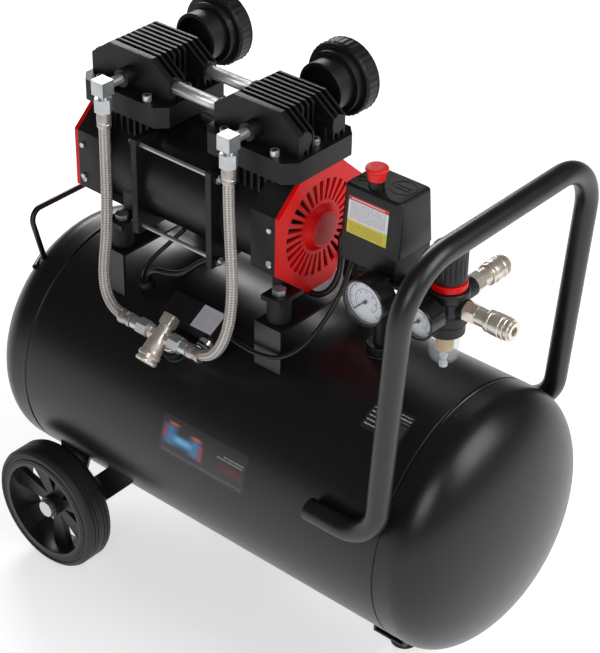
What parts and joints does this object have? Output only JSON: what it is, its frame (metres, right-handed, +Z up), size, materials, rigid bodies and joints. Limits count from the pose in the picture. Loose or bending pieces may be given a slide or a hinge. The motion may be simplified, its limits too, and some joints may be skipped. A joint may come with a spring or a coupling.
{
  "type": "air compressor",
  "caption": "Portable oil-free air compressor: horizontal tank on wheels, twin-head electric pump on top, pressure switch, regulator with gauges and quick couplers, carry handle.",
  "frame": {"origin": "on the floor under the middle of the tank", "axes": "+Z up, +X along the tank towards the carry handle, +Y to the back"},
  "size_m": [0.6788, 0.35, 0.644],
  "materials": {
    "tank_paint": "satin",
    "bracket_paint": "satin",
    "casting": "matte",
    "bare_aluminium": "satin",
    "zinc": "satin",
    "nickel": "gloss",
    "steel": "brushed",
    "braid": "satin",
    "rubber": "matte",
    "tyre": "matte",
    "black_plastic": "matte",
    "red_plastic": "gloss",
    "white_dial": "matte",
    "clear": "clear",
    "filter_foam": "matte",
    "sinter": "matte"
  },
  "bodies": {
    "frame": {"tank_shell": "tank_paint", "tank_ends": "tank_paint", "tank_bosses": "tank_paint", "support_brackets": "bracket_paint", "carry_handle": "bracket_paint", "rear_bail": "bracket_paint", "mount_brackets": "bracket_paint", "motor_housing": "casting", "crankcases": "casting", "cylinder_heads": "casting", "crossover_tubes": "bare_aluminium", "valve_plates": "bare_aluminium", "cylinder_sleeves": "bare_aluminium", "axle_bolts": "zinc", "mount_bolts": "zinc", "pump_screws": "zinc", "hose_fittings": "zinc", "tie_rods": "zinc", "manifold": "zinc", "check_valve": "nickel", "couplers": "nickel", "safety_valve": "nickel", "drain_valve": "nickel", "stator": "steel", "bearings": "steel", "hose_left": "braid", "hose_right": "braid", "rubber_foot": "rubber", "rubber_mounts": "rubber", "motor_leads": "rubber", "filter_housings": "black_plastic", "unloader_valve": "black_plastic", "switch_base": "black_plastic", "switch_cover": "black_plastic", "gauge_cases": "black_plastic", "regulator_body": "black_plastic", "fan_covers": "red_plastic", "regulator_ring": "red_plastic", "gauge_dials": "white_dial", "gauge_lenses": "clear", "filter_bowl": "clear", "filter_elements": "filter_foam", "bowl_element": "sinter"},
    "rotor": {"rotor": "steel", "fans": "black_plastic"},
    "wheel_front": {"wheel_front": "black_plastic", "tyre_front": "tyre"},
    "wheel_back": {"wheel_back": "black_plastic", "tyre_back": "tyre"},
    "piston_left": {"piston_left": "bare_aluminium"},
    "piston_right": {"piston_right": "bare_aluminium"},
    "switch_knob": {"switch_knob": "red_plastic"},
    "needle_tank": {"needle_tank": "black_plastic"},
    "needle_outlet": {"needle_outlet": "black_plastic"},
    "regulator_knob": {"regulator_knob": "black_plastic"},
    "sleeve_back": {"sleeve_back": "nickel"},
    "sleeve_end": {"sleeve_end": "nickel"},
    "safety_ring": {"safety_ring": "nickel"},
    "bowl_drain": {"bowl_drain": "white_dial"},
    "drain_knob": {"drain_knob": "black_plastic"}
  },
  "joints": [
    {"name": "crank_spin", "type": "hinge", "parent": "frame", "child": "rotor", "pos_m": [-0.0945, 0, 0.489], "axis": [1, 0, 0], "continuous": true},
    {"name": "wheel_front_spin", "type": "hinge", "parent": "frame", "child": "wheel_front", "pos_m": [-0.21, -0.156, 0.077], "axis": [0, 1, 0], "continuous": true},
    {"name": "wheel_back_spin", "type": "hinge", "parent": "frame", "child": "wheel_back", "pos_m": [-0.21, 0.156, 0.077], "axis": [0, 1, 0], "continuous": true},
    {"name": "piston_left_slide", "type": "slide", "parent": "frame", "child": "piston_left", "axis": [0, 0, 1], "range_m": [-0.01, 0]},
    {"name": "piston_right_slide", "type": "slide", "parent": "frame", "child": "piston_right", "axis": [0, 0, 1], "range_m": [0, 0.01]},
    {"name": "switch_knob_press", "type": "slide", "parent": "frame", "child": "switch_knob", "axis": [0, 0, -1], "range_m": [0, 0.006]},
    {"name": "needle_tank_turn", "type": "hinge", "parent": "frame", "child": "needle_tank", "pos_m": [0.157, -0.057, 0.469], "axis": [0, 1, 0], "range_deg": [0, 270]},
    {"name": "needle_outlet_turn", "type": "hinge", "parent": "frame", "child": "needle_outlet", "pos_m": [0.217, -0.049, 0.469], "axis": [0, 1, 0], "range_deg": [0, 270]},
    {"name": "regulator_turn", "type": "hinge", "parent": "frame", "child": "regulator_knob", "pos_m": [0.217, 0, 0.5], "axis": [0, 0, 1], "range_deg": [-540, 540]},
    {"name": "sleeve_back_slide", "type": "slide", "parent": "frame", "child": "sleeve_back", "axis": [0, 1, 0], "range_m": [-0.005, 0], "stiffness_N_per_m": 400, "springref_m": 0.004},
    {"name": "sleeve_end_slide", "type": "slide", "parent": "frame", "child": "sleeve_end", "axis": [1, 0, 0], "range_m": [-0.005, 0], "stiffness_N_per_m": 400, "springref_m": 0.004},
    {"name": "safety_pull", "type": "slide", "parent": "frame", "child": "safety_ring", "axis": [0, 1, 0], "range_m": [0, 0.004], "stiffness_N_per_m": 800, "springref_m": -0.003},
    {"name": "bowl_drain_press", "type": "slide", "parent": "frame", "child": "bowl_drain", "axis": [0, 0, 1], "range_m": [0, 0.003], "stiffness_N_per_m": 300, "springref_m": -0.002},
    {"name": "drain_knob_turn", "type": "hinge", "parent": "frame", "child": "drain_knob", "pos_m": [-0.02, 0, 0.05], "axis": [0, 0, 1], "range_deg": [0, 360]}
  ]
}
